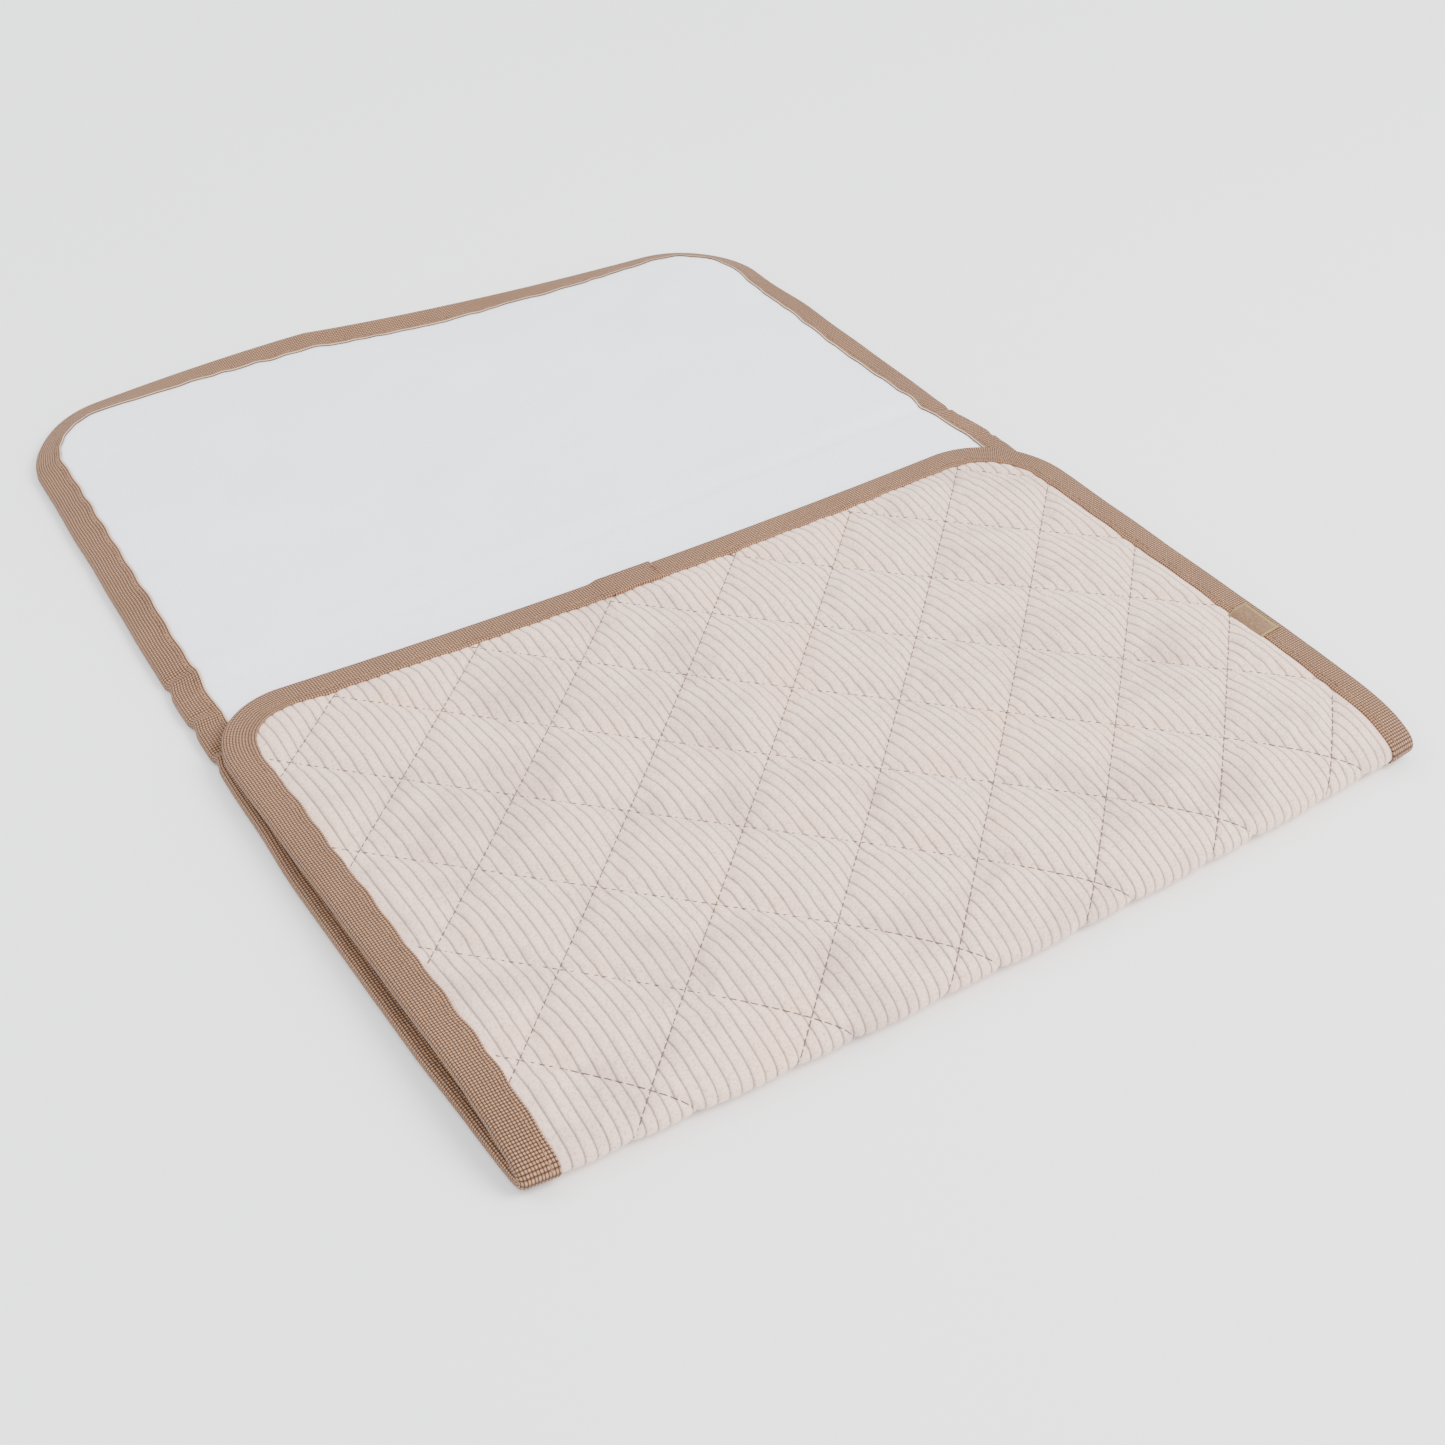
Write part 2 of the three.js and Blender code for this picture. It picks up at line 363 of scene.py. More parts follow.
def lining_height(x, s):
    y, _, _, _ = on_path(s)
    d = edge_distance(x, s)
    back = backness(y) * (s > 0)
    base = np.where(s > 0, 2.1 + 1.1 * back, 1.8)
    near_fold = 1 - 0.35 * np.exp(-((s / 9.0) ** 2))
    far = BACK_END
    lumps = -4.0 * hill(x, y, -12, far - 4, 92, 26)
    lumps += 1.5 * hill(x, y, 142, far - 22, 30, 30)
    lumps += 0.9 * hill(x, y, -146, far - 24, 26, 26)
    lumps += -2.0 * hill(x, y, 172, far - 112, 22, 62)
    lumps += 0.6 * hill(x, y, -168, far - 120, 30, 60)
    pucker = np.where(x < -100, 0.12, 0.5) * waves(x, s, 17, 31, 2) * np.exp(-(((d - 13) / 7) ** 2))
    wrinkle = 0.9 * waves(x, s, 62, 32, 2) * smooth((d - 6) / 20)
    folds = 1.0 * np.sin((x * 0.42 + y * 0.9 + 9 * waves(x, y, 90, 33, 1)) / 9.5)
    folds *= hill(x, y, -120, far - 95, 62, 60) + 0.7 * hill(x, y, 110, far - 110, 52, 52)
    line = BACK_B + 1.5 + 0.05 * x + 1.2 * waves(x, 0 * y, 80, 34, 1)
    ditch = -1.35 * np.exp(-(((y - line) / 2.8) ** 2)) + 0.6 * np.exp(-(((y - line - 8) / 5) ** 2))
    detail = back * (lumps + pucker + wrinkle + folds + ditch * smooth((d - 4) / 10))
    rise = smooth(d / 15)
    return (1.5 + (base - 1.5) * rise + detail * smooth(d / 12)) * near_fold


NO_LIMIT = 99.0


def floor_limit(x, s):
    """How far the corduroy may stand out before it reaches the floor."""
    _, z, _, nz = on_path(s)
    return np.where(s > 9, z + crown(x, s) - 0.12, NO_LIMIT)


def cover_depth(x, s, ribs=True):
    """How far the corduroy stands out from the middle surface, away from the lining."""
    y, _, _, _ = on_path(s)
    d = edge_distance(x, s)
    back = backness(y) * (s > 0)
    seam, _, _ = seam_distance(x, s)
    swell = quilt(RISE, x, s) / 5.0 * (1 - 0.85 * np.exp(-((seam / 2.0) ** 2)))
    swell *= 1 - 0.72 * np.exp(-(((s + 1) / 19) ** 4))
    height = np.where(s < 6, 3.4, 2.2 + 1.3 * back)
    body = np.where(s < 6, 1.75, 1.5 + 1.6 * back)
    inner = smooth((d - TAPE + 2.0) / 10)
    fine = 0.22 * waves(x, s, 9, 41, 2) * smooth(seam / 4)
    depth = 1.5 + (body - 1.5) * smooth(d / 12) + inner * (height * swell + fine)
    depth -= 0.7 * np.exp(-((seam / 0.9) ** 2)) * smooth((d - TAPE + 2) / 3)
    limit = floor_limit(x, s)
    soft = limit - 0.45 * np.log1p(np.exp(np.clip((limit - depth) / 0.45, -40, 40)))
    depth = np.where(limit < NO_LIMIT, np.maximum(soft, 0.4), depth)
    if ribs:
        flat = 0.5 + 0.5 * smooth(seam / 3)
        depth = depth + RIB * (rib(x, s) - 1) * flat * smooth((d - TAPE + 4) / 3)
    return depth


# ---- From the flat mat to the folded one ----
def placed(x, s, h):
    """Row-frame points, in metres, of flat points (x, s) at height h towards the lining."""
    y, z, ny, nz = on_path(s)
    y0 = y
    y = y + ny * h
    z = z + nz * h + crown(x, s)
    bow = -5.2 * (1 - (x / SIDE) ** 2)
    y = y + bow * np.where(s <= 0, 1.0, 1 - smooth(s / 215))
    lower = (s > 0).astype(float)
    left = 0.00028 * np.clip(y0 - 235, 0, None)
    right = 0.033 * smooth((y0 - 222) / 40) + 0.00012 * np.clip(y0 - 255, 0, None)
    shrink = lower * np.where(x < 0, left, right)
    far = np.where(x > -36, -14.5 * (1 - np.exp(-np.clip(x + 36, 0, None) / 70)), -3 * ((x + 36) / 68) ** 2)
    y = y + lower * far * smooth((y0 - 330) / 108) + lower * 1.2 * smooth((y0 - 330) / 108)
    bulge = -2.7 * np.sin(np.clip(y0 / 222, 0, 1) * math.pi) * smooth((-x - 90) / 85) * lower
    rim = smooth((np.abs(x) - (SIDE - 16)) / 14) * lower
    for kink in (BACK_A - 22, BACK_A - 2, BACK_B + 1):
        z = z + 0.8 * rim * np.exp(-(((y0 - kink) / 1.5) ** 2))
        z = z - 0.7 * rim * np.exp(-(((y0 - kink - 3.2) / 1.6) ** 2))
        shrink = shrink + 0.006 * rim * np.exp(-(((y0 - kink) / 3.0) ** 2))
    edge_wave = bulge + 0.35 * waves(s, 0 * s + 7, 55, 51, 2) * np.sign(x) * smooth((np.abs(x) - 120) / 50)
    return np.stack([x * (1 - shrink) + edge_wave, y + FRONT_Y, np.maximum(z, 0.1)], -1) * MM


# ---- Meshes ----
SEGMENTS = {  # stretch of s, its two bodies, and where it turns from the first to the second
    "front": (S_FRONT, 0.0, "front_spine", "front_panel", -1.0, -8.0),
    "middle_front": (0.0, S_SPLIT, "middle_panel", "front_spine", 8.0, 1.0),
    "middle_back": (S_SPLIT, S_SPINE, "middle_panel", "back_spine", s_at(BACK_A - 5), s_at(BACK_A + 5)),
    "back": (S_SPINE, S_BACK, "back_spine", "back_panel", s_at(BACK_B - 5), s_at(BACK_B + 5)),
}


def add_piece(name, points, flat_s, faces, material, uv=None, normals=None):
    """A smooth-shaded mesh piece from points and faces, with a uv layer and custom normals when given; its
    vertices are laid along the flat length s, then set to the points.
    """
    mesh = bpy.data.meshes.new(name)
    laid = np.zeros_like(points)
    laid[:, 1] = flat_s * MM
    mesh.vertices.add(len(points))
    mesh.vertices.foreach_set("co", laid.astype(np.float32).ravel())
    faces = np.asarray(faces, np.int32)
    sides = faces.shape[1]
    mesh.loops.add(faces.size)
    mesh.loops.foreach_set("vertex_index", faces.ravel())
    mesh.polygons.add(len(faces))
    mesh.polygons.foreach_set("loop_start", np.arange(len(faces), dtype=np.int32) * sides)
    mesh.polygons.foreach_set("loop_total", np.full(len(faces), sides, np.int32))
    mesh.update(calc_edges=True)
    piece = bpy.data.objects.new(name, mesh)
    bpy.context.scene.collection.objects.link(piece)
    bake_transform(piece)
    mesh.vertices.foreach_set("co", points.astype(np.float32).ravel())
    if uv is not None:
        layer = mesh.uv_layers.new(name="cloth")
        layer.data.foreach_set("uv", uv[faces.ravel()].astype(np.float32).ravel())
    mesh.polygons.foreach_set("use_smooth", np.ones(len(faces), bool))
    mesh.materials.append(material)
    mesh.update()
    mesh.validate()
    if normals is not None:
        mesh.normals_split_custom_set_from_vertices(normals.tolist())
    return piece


def vertex_normals(points, faces):
    a, b, c = points[faces[:, 0]], points[faces[:, 1]], points[faces[:, 2]]
    n = np.cross(b - a, c - a)
    total = np.zeros_like(points)
    for k in range(faces.shape[1]):
        np.add.at(total, faces[:, k], n)
    length = np.linalg.norm(total, axis=1)[:, None]
    return total / np.maximum(length, 1e-12)


def surface_rows(s0, s1, step, fine):
    """Rows of s for a surface from s0 to s1, closer together round the front fold."""
    edges = []
    s = s0
    while s < s1 - 1e-6:
        edges.append(s)
        s += fine if abs(s) < 26 else step
    edges.append(s1)
    if edges[-1] - edges[-2] < 0.35 * fine:
        edges.pop(-2)
    return np.array(edges)


def grid_piece(name, segment, columns, step, fine, height, inset, material, uv_of, flip):
    s0, s1 = SEGMENTS[segment][:2]
    rows = surface_rows(s0, s1, step, fine)
    extra = np.concatenate([[2 * rows[0] - rows[1]], rows, [2 * rows[-1] - rows[-2]]])
    x, s = np.meshgrid(columns, extra)
    n_rows, n_cols = x.shape
    h = height(x, s)
    points = placed(x.ravel(), s.ravel(), h.ravel())
    index = np.arange(n_rows * n_cols).reshape(n_rows, n_cols)
    quads = np.stack([index[:-1, :-1], index[:-1, 1:], index[1:, 1:], index[1:, :-1]], 2)
    if flip:
        quads = quads[:, :, ::-1]
    normals = vertex_normals(points, quads.reshape(-1, 4))
    quads = quads[1:-1].reshape(-1, 4)
    flat = np.stack([x.ravel(), s.ravel()], 1)
    middle = flat[quads].mean(axis=1)
    quads = quads[edge_distance(middle[:, 0], middle[:, 1]) > inset]
    used, new = np.unique(quads, return_inverse=True)
    quads = new.reshape(-1, 4)
    uv = uv_of(flat[used, 0], flat[used, 1])
    return add_piece(
        name, points[used], flat[used, 1], quads, material, uv, normals[used]
    )


# ---- Materials ----
class Nodes:
    """A short way to write a node tree."""

    def __init__(self, name):
        self.material = bpy.data.materials.new(name)
        self.material.use_nodes = True
        self.tree = self.material.node_tree
        self.shader = self.tree.nodes["Principled BSDF"]

    def node(self, kind, inputs=None, **settings):
        n = self.tree.nodes.new(kind)
        for key, value in settings.items():
            setattr(n, key, value)
        for key, value in (inputs or {}).items():
            self.put(n.inputs[key], value)
        return n

    def put(self, socket, value):
        if isinstance(value, bpy.types.NodeSocket):
            self.tree.links.new(value, socket)
        else:
            socket.default_value = value

    def math(self, operation, a, b=None):
        n = self.node("ShaderNodeMath", operation=operation)
        self.put(n.inputs[0], a)
        if b is not None:
            self.put(n.inputs[1], b)
        return n.outputs[0]

    def ramp(self, value, stops):
        n = self.node("ShaderNodeValToRGB", {"Fac": value})
        ramp = n.color_ramp
        while len(ramp.elements) < len(stops):
            ramp.elements.new(0.5)
        for element, (position, color) in zip(ramp.elements, stops):
            element.position = position
            element.color = (*color, 1.0)
        return n.outputs["Color"]

    def noise(self, vector, scale, detail=2.0, rough=0.5):
        inputs = {"Vector": vector, "Scale": scale, "Detail": detail, "Roughness": rough}
        return self.node("ShaderNodeTexNoise", inputs).outputs["Fac"]

    def mix(self, amount, a, b, blend="MIX"):
        n = self.node("ShaderNodeMix", data_type="RGBA", blend_type=blend)
        self.put(n.inputs[0], amount)
        self.put(n.inputs[6], a)
        self.put(n.inputs[7], b)
        return n.outputs[2]

    def uv(self):
        layer = self.node("ShaderNodeUVMap", uv_map="cloth")
        split = self.node("ShaderNodeSeparateXYZ", {"Vector": layer.outputs["UV"]})
        return layer.outputs["UV"], split.outputs["X"], split.outputs["Y"]

    def place(self):
        return self.node("ShaderNodeTexCoord").outputs["Object"]

    def bump(self, height, distance, strength=1.0, normal=None):
        inputs = {"Height": height, "Distance": distance, "Strength": strength}
        if normal is not None:
            inputs["Normal"] = normal
        return self.node("ShaderNodeBump", inputs).outputs["Normal"]

    def finish(self, color, normal, **values):
        self.put(self.shader.inputs["Base Color"], color)
        if normal is not None:
            self.put(self.shader.inputs["Normal"], normal)
        for key, value in values.items():
            self.put(self.shader.inputs[key.replace("_", " ")], value)
        return self.material


def srgb(r, g, b):
    return tuple(((c / 255 + 0.055) / 1.055) ** 2.4 if c > 10 else c / 3294.6 for c in (r, g, b))


def corduroy_material():
    n = Nodes("jumbo_corduroy")
    _, u, _ = n.uv()
    place = n.place()
    fold = n.math("ABSOLUTE", n.math("SUBTRACT", n.math("FRACT", n.math("ADD", u, 0.5)), 0.5))
    # Painted shade: the colour greys towards the bottom of each groove between the ribs, and the rib tops
    # keep the cloth's own peach.
    groove_shade = n.ramp(
        fold,
        [
            (0.0, srgb(150, 134, 128)),
            (0.045, srgb(176, 160, 152)),
            (0.09, srgb(232, 206, 193)),
            (0.20, srgb(252, 222, 206)),
            (1.0, srgb(255, 226, 210)),
        ],
    )
    patch = n.noise(place, 38.0, 3.0, 0.55)
    blotches = [(0.32, srgb(226, 219, 217)), (0.52, srgb(252, 247, 243)), (0.7, srgb(255, 243, 233))]
    tint = n.ramp(patch, blotches)
    color = n.mix(0.85, groove_shade, tint, "MULTIPLY")
    pile = n.noise(place, 1300.0, 3.0, 0.75)
    flecks = [(0.34, srgb(196, 184, 176)), (0.47, srgb(246, 242, 239)), (0.62, srgb(255, 255, 255))]
    speckle = n.ramp(pile, flecks)
    color = n.mix(0.8, color, speckle, "MULTIPLY")
    bump = n.bump(n.noise(place, 900.0, 3.0, 0.7), 0.0006, 0.8)
    bump = n.bump(n.noise(place, 2600.0, 2.0, 0.6), 0.0002, 0.5, bump)
    return n.finish(color, bump, Roughness=0.95, Sheen_Weight=0.35, Sheen_Roughness=0.45)


def tape_material(name, dark, mid, light):
    n = Nodes(name)
    _, u, v = n.uv()
    place = n.place()

    def cord(value):
        return n.math("ABSOLUTE", n.math("SINE", n.math("MULTIPLY", value, math.pi)))

    a, b = cord(u), cord(v)
    whole = n.math("ADD", n.math("FLOOR", u), n.math("FLOOR", v))
    over = n.math("MULTIPLY", n.math("FRACT", n.math("MULTIPLY", whole, 0.5)), 2.0)
    under = n.math("SUBTRACT", 1.0, over)
    warp = n.math("MULTIPLY", n.math("POWER", a, 0.5), n.math("POWER", b, 0.36))
    weft = n.math("MULTIPLY", n.math("POWER", b, 0.5), n.math("POWER", a, 0.36))
    weft = n.math("MULTIPLY", weft, 0.93)
    height = n.math("ADD", n.math("MULTIPLY", warp, over), n.math("MULTIPLY", weft, under))
    fibre = n.noise(place, 1900.0, 2.0, 0.6)
    # Painted shade: the colour runs from dark brown in the weave's hollows to pale on its raised crossings,
    # and the fibre noise adds a random tone.
    weave_shade_and_fibre = n.math("ADD", height, n.math("MULTIPLY", n.math("SUBTRACT", fibre, 0.5), 0.35))
    color = n.ramp(weave_shade_and_fibre, [(0.30, dark), (0.62, mid), (0.95, light)])
    patch = n.noise(place, 30.0, 2.0)
    tint = n.ramp(patch, [(0.3, srgb(236, 232, 228)), (0.7, srgb(255, 252, 250))])
    color = n.mix(0.9, color, tint, "MULTIPLY")
    selvedge = n.math("LESS_THAN", v, 0.6)
    color = n.mix(n.math("MULTIPLY", selvedge, 0.75), color, (*srgb(236, 202, 172), 1.0))
    bump = n.bump(height, 0.00035, 0.9)
    return n.finish(color, bump, Roughness=0.8, Sheen_Weight=0.04, Sheen_Roughness=0.5)


def lining_material():
    n = Nodes("coated_lining")
    _, u, v = n.uv()
    place = n.place()
    patch = n.noise(place, 9.0, 3.0, 0.5)
    whites = [(0.3, srgb(243, 245, 254)), (0.55, srgb(247, 248, 255)), (0.75, srgb(250, 250, 253))]
    color = n.ramp(patch, whites)
    fine = n.noise(place, 700.0, 2.0, 0.6)
    grain = n.ramp(fine, [(0.3, srgb(249, 249, 251)), (0.6, srgb(255, 255, 255))])
    color = n.mix(0.8, color, grain, "MULTIPLY")
    warp = n.math("SINE", n.math("MULTIPLY", u, 9.0))
    weft = n.math("SINE", n.math("MULTIPLY", v, 9.0))
    weave = n.math("MULTIPLY", warp, weft)
    bump = n.bump(weave, 0.00003, 0.5)
    bump = n.bump(n.noise(place, 60.0, 3.0, 0.6), 0.0006, 0.35, bump)
    return n.finish(color, bump, Roughness=0.55, Sheen_Weight=0.1)


def thread_material(name, dark, light):
    n = Nodes(name)
    place = n.place()
    twist = n.noise(place, 2400.0, 2.0, 0.6)
    color = n.ramp(twist, [(0.35, dark), (0.65, light)])
    return n.finish(color, n.bump(twist, 0.0001, 0.5), Roughness=0.7)


def wadding_material():
    n = Nodes("polyester_wadding")
    place = n.place()
    fluff = n.noise(place, 320.0, 5.0, 0.7)
    color = n.ramp(fluff, [(0.3, srgb(226, 224, 219)), (0.65, srgb(250, 249, 246))])
    return n.finish(color, n.bump(fluff, 0.0008, 0.8), Roughness=1.0)


def label_material():
    n = Nodes("woven_label")
    _, u, v = n.uv()
    place = n.place()
    satin = n.noise(place, 1500.0, 2.0, 0.6)
    color = n.ramp(satin, [(0.3, srgb(92, 66, 44)), (0.7, srgb(132, 100, 70))])
    border = n.math("GREATER_THAN", n.math("ABSOLUTE", v), 7.7)
    border = n.math("MAXIMUM", border, n.math("LESS_THAN", u, 0.9))
    color = n.mix(n.math("MULTIPLY", border, 0.7), color, (*srgb(138, 122, 70), 1.0))
    return n.finish(color, n.bump(satin, 0.0001, 0.6), Roughness=0.6)


CORDUROY = corduroy_material()
# The tape's darkest colour is painted shade for the weave's hollows.
BINDING = tape_material("woven_binding", srgb(46, 29, 19), srgb(110, 74, 50), srgb(180, 137, 100))
LINING = lining_material()
WADDING = wadding_material()
LABEL = label_material()
QUILT_THREAD = thread_material("quilting_thread", srgb(74, 62, 56), srgb(118, 102, 94))
BAR_THREAD = thread_material("bar_tack_thread", srgb(88, 40, 24), srgb(132, 70, 46))
TAPE_THREAD = thread_material("tape_thread", srgb(104, 72, 52), srgb(156, 116, 88))


# ---- The corduroy cover, the wadding and the lining, in four lengths each ----
NODE_OF = {
    "front": ["front"],
    "middle_front": ["middle", "front_spine"],
    "middle_back": ["back_spine"],
    "back": ["back"],
}


def cover_uv(x, s):
    return np.stack([wale_index(x, s), s / WALE], 1)


def lining_uv(x, s):
    return np.stack([x, s], 1)


def wadding_height(x, s):
    return -0.35 * cover_depth(x, s, ribs=False)


across = np.arange(-SIDE + 4, SIDE - 4 + 0.01, WALE / 8)
across_coarse = np.arange(-SIDE + 4, SIDE - 4 + 0.01, WALE / 6)
across_soft = np.linspace(-SIDE + 4, SIDE - 4, 175)
across_wadding = np.linspace(-SIDE + 4, SIDE - 4, 88)
for part, nodes in NODE_OF.items():
    visible = part == "front"
    cover = grid_piece(
        f"{part}_corduroy",
        part,
        across if visible else across_coarse,
        1.7 if visible else 2.6,
        0.6,
        lambda x, s: -cover_depth(x, s),
        5.0,
        CORDUROY,
        cover_uv,
        True,
    )
    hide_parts(*[f"{n}_corduroy_shell" for n in nodes])
    core = grid_piece(
        f"{part}_core", part, across_wadding, 4.0, 1.5, wadding_height, 7.0, WADDING,
        lining_uv, False,
    )
    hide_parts(*[f"{n}_wadding" for n in nodes])
    inside = grid_piece(
        f"{part}_lining_cloth",
        part,
        across_soft,
        2.0,
        0.8,
        lining_height,
        5.0,
        LINING,
        lining_uv,
        False,
    )
    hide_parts(*[f"{n}_lining" for n in nodes])


# ---- The binding tape: a folded channel swept along the edge ----
def tape_profile():
    """(share of the tape's width, side, thickness share) round the channel, closed."""
    outer = [(1.0, 0.86), (0.97, 1.0), (0.8, 1.0), (0.6, 1.0), (0.4, 1.0), (0.24, 1.0), (0.12, 0.94)]
    profile = [(d, 1.0, t) for d, t in outer]
    profile += [(0.05, 0.78, 1.0), (0.0, 0.45, 1.0), (-0.02, 0.0, 1.0), (0.0, -0.45, 1.0), (0.05, -0.78, 1.0)]
    profile += [(d, -1.0, t) for d, t in reversed(outer)]
    profile += [(1.0, -1.0, 0.0), (0.5, -1.0, -0.1), (0.16, -1.0, -0.3)]
    profile += [(0.16, 1.0, -0.3), (0.5, 1.0, -0.1), (1.0, 1.0, 0.0)]
    return profile


def tape_piece(name, points, normals, raise_cover=None, replaced=()):
    profile = tape_profile()
    count, ring = len(points), len(profile)
    seam_scallop = tape_width(points[:, 0], points[:, 1])
    steps = np.linalg.norm(np.diff(points, axis=0), axis=1)
    along = np.concatenate([[0], np.cumsum(steps)])
    lift = np.zeros(count) if raise_cover is None else raise_cover
    out = np.zeros((count, ring, 3))
    flat_s = np.zeros((count, ring))
    uv = np.zeros((count, ring, 2))
    reach = 0.0
    last = None
    for j, (share, side, thick) in enumerate(profile):
        outside = thick > -0.05
        overlap = lift * outside
        d = np.maximum(seam_scallop * share, 0.0) - 0.9 * overlap * max(0.0, 1 - share * 3)
        q = points + normals * d[:, None]
        top = lining_height(q[:, 0], q[:, 1]) + TAPE_THICK * thick + 0.6 * overlap
        bottom = cover_depth(q[:, 0], q[:, 1], ribs=False) + TAPE_THICK * thick + overlap
        limit = floor_limit(q[:, 0], q[:, 1])
        bottom = np.minimum(bottom, limit)
        h = np.where(side > 0, side * top, side * bottom)
        out[:, j] = placed(q[:, 0], q[:, 1], h)
        flat_s[:, j] = q[:, 1]
        outward = share * TAPE
        here = np.array([outward, side * 2.0])
        if last is not None:
            reach += float(np.linalg.norm(here - last))
        last = here
        uv[:, j, 0] = along / WEAVE
        uv[:, j, 1] = reach / WEAVE
    index = np.arange(count * ring).reshape(count, ring)
    nxt = np.roll(index, -1, axis=1)
    quads = np.stack([index[:-1], nxt[:-1], nxt[1:], index[1:]], 2).reshape(-1, 4)
    flat_points = out.reshape(-1, 3)
    piece = add_piece(
        name, flat_points, flat_s.ravel(), quads, BINDING, uv.reshape(-1, 2)
    )
    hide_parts(*replaced)


LAP_X = (-20.0, 2.0)  # where the tape's finishing end covers its starting end
front_points, front_normals = outline(0.0, None, "front")
finishing = front_points[:, 0] <= LAP_X[1]
side_run = front_points[:, 1] > S_FRONT + 45
finishing &= ~(side_run & (front_points[:, 0] > 0))
starting = (front_points[:, 0] >= LAP_X[0]) & ~(side_run & (front_points[:, 0] < 0))
lift = 0.75 * smooth((front_points[:, 0] - (LAP_X[0] - 5)) / 5) * (front_points[:, 1] < S_FRONT + 20)
tape_piece(
    "front_tape_finishing_end",
    front_points[finishing],
    front_normals[finishing],
    lift[finishing],
    ["front_binding_finishing_end"],
)
tape_piece(
    "front_tape_starting_end",
    front_points[starting],
    front_normals[starting],
    None,
    ["front_binding_starting_end"],
)
for turn in ("left", "right"):
    for part, replaced in (
        ("middle_front", [f"middle_binding_{turn}", f"front_spine_binding_{turn}"]),
        ("middle_back", [f"back_spine_binding_{turn}"]),
    ):
        p, m = outline(*SEGMENTS[part][:2], turn)
        tape_piece(f"{part}_tape_{turn}", p, m, None, replaced)
back_points, back_normals = outline(S_SPINE, None, "back")
tape_piece("back_tape", back_points, back_normals, None, ["back_binding"])


# ---- Stitching ----
def thread_piece(name, starts, ends, ups, flat_s, thickness, material):
    """Short thread stitches from starts to ends, each a little capsule."""
    sides, rings = 6, (0.0, 0.16, 0.84, 1.0)
    widths = (0.35, 1.0, 1.0, 0.35)
    axis = ends - starts
    length = np.linalg.norm(axis, axis=1)[:, None]
    axis = axis / np.maximum(length, 1e-9)
    across_axis = np.cross(axis, ups)
    across_axis /= np.maximum(np.linalg.norm(across_axis, axis=1)[:, None], 1e-9)
    up = np.cross(across_axis, axis)
    points = []
    for t, w in zip(rings, widths):
        sag = -0.55 * thickness * (1.0 if t in (0.0, 1.0) else 0.0)
        centre = starts + (ends - starts) * t + up * sag
        for k in range(sides):
            a = 2 * math.pi * k / sides
            points.append(centre + thickness * w * (math.cos(a) * across_axis + 0.7 * math.sin(a) * up))
    points = np.stack(points, 1)
    count, per = points.shape[:2]
    quads = []
    for r in range(len(rings) - 1):
        for k in range(sides):
            k2 = (k + 1) % sides
            quads.append((r * sides + k, r * sides + k2, (r + 1) * sides + k2, (r + 1) * sides + k))
    quads = np.array(quads)
    faces = (quads[None] + (np.arange(count) * per)[:, None, None]).reshape(-1, 4)
    return add_piece(
        name, points.reshape(-1, 3), np.repeat(flat_s, per), faces, material
    )


def surface_up(x, s, h):
    """The outward direction of the corduroy face."""
    base = placed(x, s, h)
    over = placed(x, s, h - 1.0)
    n = over - base
    return n / np.maximum(np.linalg.norm(n, axis=1)[:, None], 1e-9)


def seam_lines():
    """Flat midpoints and directions of every quilting stitch on the whole mat."""
    pitch, found = 3.1, []
    unit = math.hypot(QUILT_X, QUILT_S)
    for sign in (1, -1):
        step = np.array([QUILT_X, sign * QUILT_S]) / unit
        for k in range(-24, 25):
            origin = np.array([QUILT_SHIFT + 2 * k * QUILT_X, S_NODE])
            t = np.arange(-900, 900, pitch) + (k * 1.37) % pitch
            p = origin + t[:, None] * step
            keep = (np.abs(p[:, 0]) < SIDE) & (p[:, 1] > S_FRONT) & (p[:, 1] < S_BACK)
            p = p[keep]
            found.append(np.hstack([p, np.tile(step, (len(p), 1))]))
    found = np.vstack(found)
    return found[edge_distance(found[:, 0], found[:, 1]) > TAPE + 0.5]


stitches = seam_lines()
for part, (s0, s1, *_) in SEGMENTS.items():
    here = stitches[(stitches[:, 1] >= s0) & (stitches[:, 1] < s1)]
    a = here[:, :2] - 1.25 * here[:, 2:]
    b = here[:, :2] + 1.25 * here[:, 2:]

    def on_cover(p):
        h = -cover_depth(p[:, 0], p[:, 1], ribs=False) - 0.16
        return placed(p[:, 0], p[:, 1], h), h

    pa, ha = on_cover(a)
    pb, _ = on_cover(b)
    ups = surface_up(here[:, 0], here[:, 1], ha)
    quilting = thread_piece(
        f"{part}_quilting_stitches", pa, pb, ups, here[:, 1], 0.2 * MM, QUILT_THREAD
    )


def tape_stitches(name, points, normals):
    """A line of stitches near the tape's inner edge, on both faces."""
    steps = np.linalg.norm(np.diff(points, axis=0), axis=1)
    along = np.concatenate([[0], np.cumsum(steps)])
    middles = np.arange(1.5, along[-1] - 1.0, 3.0)
    starts, ends, ups, flat = [], [], [], []
    for face in (1, -1):
        ab = []
        for offset in (-1.0, 1.0):
            at = middles + offset
            q = np.stack([np.interp(at, along, points[:, k]) for k in range(2)], 1)
            m = np.stack([np.interp(at, along, normals[:, k]) for k in range(2)], 1)
            q = q + m * (TAPE - 2.3)
            if face > 0:
                h = lining_height(q[:, 0], q[:, 1]) + TAPE_THICK + 0.08
            else:
                h = -(cover_depth(q[:, 0], q[:, 1], ribs=False) + TAPE_THICK + 0.08)
                h = np.maximum(h, -floor_limit(q[:, 0], q[:, 1]))
            ab.append((placed(q[:, 0], q[:, 1], h), q, h))
        up = surface_up(ab[0][1][:, 0], ab[0][1][:, 1], ab[0][2]) * -face
        starts.append(ab[0][0])
        ends.append(ab[1][0])
        ups.append(up)
        flat.append(ab[0][1][:, 1])
    return thread_piece(
        name, np.vstack(starts), np.vstack(ends), np.vstack(ups), np.concatenate(flat),
        0.24 * MM, TAPE_THREAD,
    )


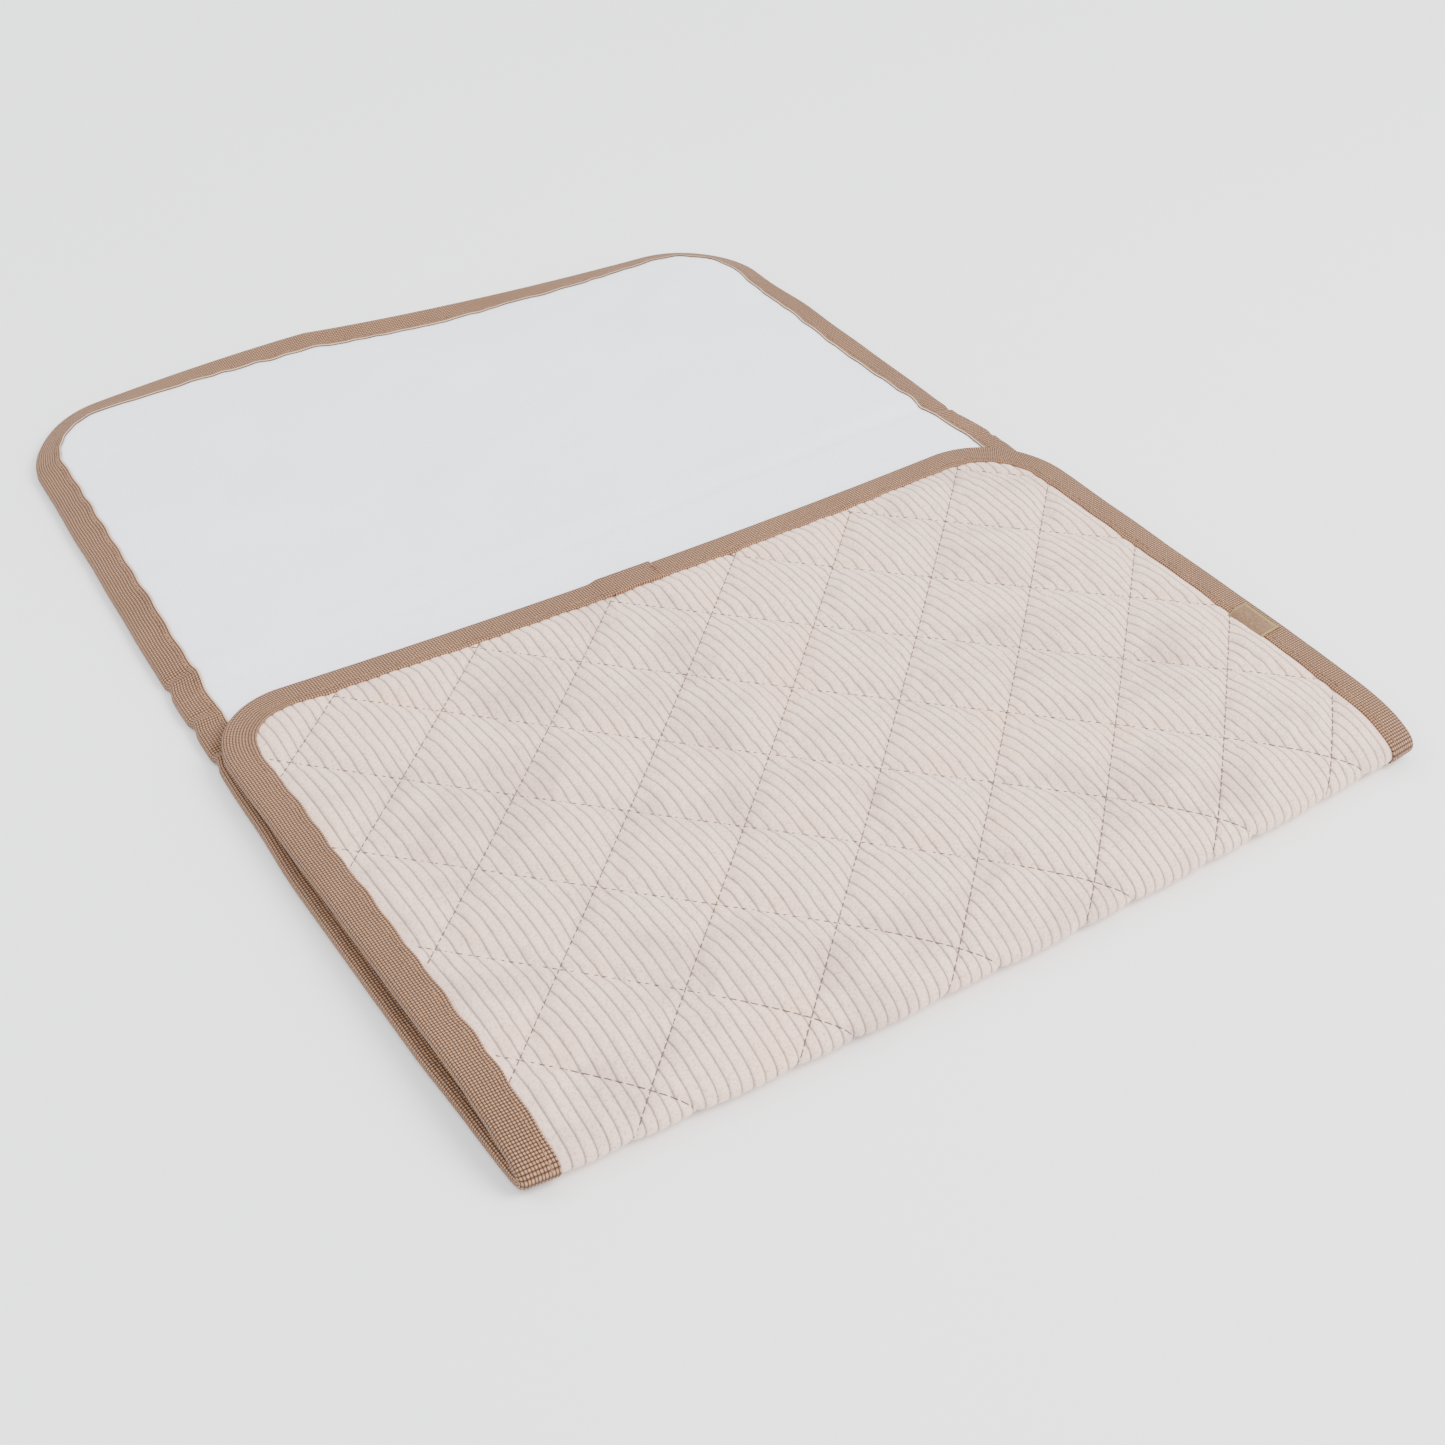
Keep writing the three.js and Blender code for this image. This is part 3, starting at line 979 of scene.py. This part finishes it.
tape_stitches("front_tape_stitches", front_points, front_normals)
for turn in ("left", "right"):
    for part in ("middle_front", "middle_back"):
        p, m = outline(*SEGMENTS[part][:2], turn)
        tape_stitches(f"{part}_tape_stitches_{turn}", p, m)
tape_stitches("back_tape_stitches", back_points, back_normals)


def lap_bar_tack():
    """A row of close stitches across the tape, holding its finishing end down."""
    d = np.arange(4.6, 10.8, 1.1)
    ends = []
    for x in (LAP_X[1] - 1.9, LAP_X[1] - 0.5):
        q = np.stack([np.full(len(d), x) + 0.25 * (np.arange(len(d)) % 2), S_FRONT + d], 1)
        h = -(cover_depth(q[:, 0], q[:, 1], ribs=False) + 2 * TAPE_THICK + 0.1)
        ends.append((placed(q[:, 0], q[:, 1], h), q, h))
    up = surface_up(ends[0][1][:, 0], ends[0][1][:, 1], ends[0][2])
    return thread_piece(
        "lap_bar_tack", ends[0][0], ends[1][0], up, ends[0][1][:, 1], 0.26 * MM,
        BAR_THREAD,
    )


lap_bar_tack()


# ---- The small blank label, folded and caught under the tape ----
label_low, label_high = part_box("side_label")
label_y = ((label_low + label_high) / 2).y / MM - FRONT_Y
label_s = upper_s_at(label_y)
lu = np.linspace(0, 1, 15)
lv = np.linspace(-8.5, 8.5, 27)
gu, gv = np.meshgrid(lu, lv)
label_x = SIDE - TAPE + 7.2 - 10.2 * gu + 0.8 * (gv / 8.5) ** 2 * (1 - gu)
label_on = TAPE_THICK + 0.62 + 0.5 * (1 - gu) * np.exp(-((gv / 7.0) ** 2)) - 1.9 * smooth((gu - 0.62) / 0.3)
label_h = -(cover_depth(label_x, label_s + gv, ribs=False) + label_on)
label_flat = (label_s + gv + 0.5 * np.sin(gu * 3)).ravel()
sheets = []
for layer in (0.0, 0.45):
    sheets.append(placed(label_x.ravel(), label_flat, (label_h + layer).ravel()))
count = len(sheets[0])
index = np.arange(count).reshape(gu.shape)
quads = np.stack([index[:-1, :-1], index[:-1, 1:], index[1:, 1:], index[1:, :-1]], 2).reshape(-1, 4)
rim = np.concatenate([index[0, :-1], index[:-1, -1], index[-1, :0:-1], index[:0:-1, 0]])
rim_next = np.roll(rim, -1)
walls = np.stack([rim, rim + count, rim_next + count, rim_next], 1)
label_faces = np.vstack([quads, quads[:, ::-1] + count, walls])
label_uv = np.tile(np.stack([gu.ravel() * 8, gv.ravel()], 1), (2, 1))
label = add_piece(
    "blank_side_label", np.vstack(sheets), np.tile(label_flat, 2), label_faces, LABEL,
    label_uv,
)
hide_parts("side_label")


# ---- Camera, floor and light ----
def look_camera():
    azimuth, elevation, roll = math.radians(-35.508), math.radians(40.670), math.radians(2.925)
    forward = np.array(
        [
            -math.sin(azimuth) * math.cos(elevation),
            math.cos(azimuth) * math.cos(elevation),
            -math.sin(elevation),
        ]
    )
    right = np.cross(forward, [0, 0, 1])
    right /= np.linalg.norm(right)
    up = np.cross(right, forward)
    turned_right = math.cos(roll) * right + math.sin(roll) * up
    turned_up = -math.sin(roll) * right + math.cos(roll) * up
    camera = bpy.data.cameras.new("camera")
    camera.lens = 2128.3 * 36 / 1445
    camera.sensor_width = 36
    camera.clip_start = 0.01
    holder = bpy.data.objects.new("camera", camera)
    bpy.context.scene.collection.objects.link(holder)
    matrix = Matrix.Identity(4)
    for row in range(3):
        matrix[row][0] = turned_right[row]
        matrix[row][1] = turned_up[row]
        matrix[row][2] = -forward[row]
    place = (-340.95, -313.21 + FRONT_Y, 477.87)
    for row in range(3):
        matrix[row][3] = place[row] * MM
    holder.matrix_world = matrix
    bpy.context.scene.camera = holder


look_camera()

floor_mesh = bpy.data.meshes.new("floor")
floor_mesh.from_pydata([(-6, -6, 0), (6, -6, 0), (6, 6, 0), (-6, 6, 0)], [], [(0, 1, 2, 3)])
floor = bpy.data.objects.new("floor", floor_mesh)
bpy.context.scene.collection.objects.link(floor)
floor_nodes = Nodes("pale_floor")
floor_color = floor_nodes.ramp(
    floor_nodes.noise(floor_nodes.place(), 2.0), [(0.3, (0.93, 0.93, 0.93)), (0.7, (0.95, 0.95, 0.95))]
)
floor_mesh.materials.append(floor_nodes.finish(floor_color, None, Roughness=0.9))


def area_light(name, place, target, size, power, color):
    light = bpy.data.lights.new(name, "AREA")
    light.shape = "DISK"
    light.size = size
    light.energy = power
    light.color = color
    holder = bpy.data.objects.new(name, light)
    bpy.context.scene.collection.objects.link(holder)
    holder.location = place
    direction = np.array(target) - np.array(place)
    holder.rotation_euler = Vector(direction).to_track_quat("-Z", "Y").to_euler()


area_light("key", (0.8, -0.9, 1.4), (0, 0, 0), 1.1, 46, (1.0, 0.98, 0.96))
area_light("fill", (-1.2, 1.0, 1.4), (0, 0, 0), 1.4, 16, (0.94, 0.97, 1.0))
world = bpy.data.worlds.new("studio")
bpy.context.scene.world = world
world.use_nodes = True
world.node_tree.nodes["Background"].inputs["Color"].default_value = (0.96, 0.98, 1.0, 1.0)
world.node_tree.nodes["Background"].inputs["Strength"].default_value = 1.75
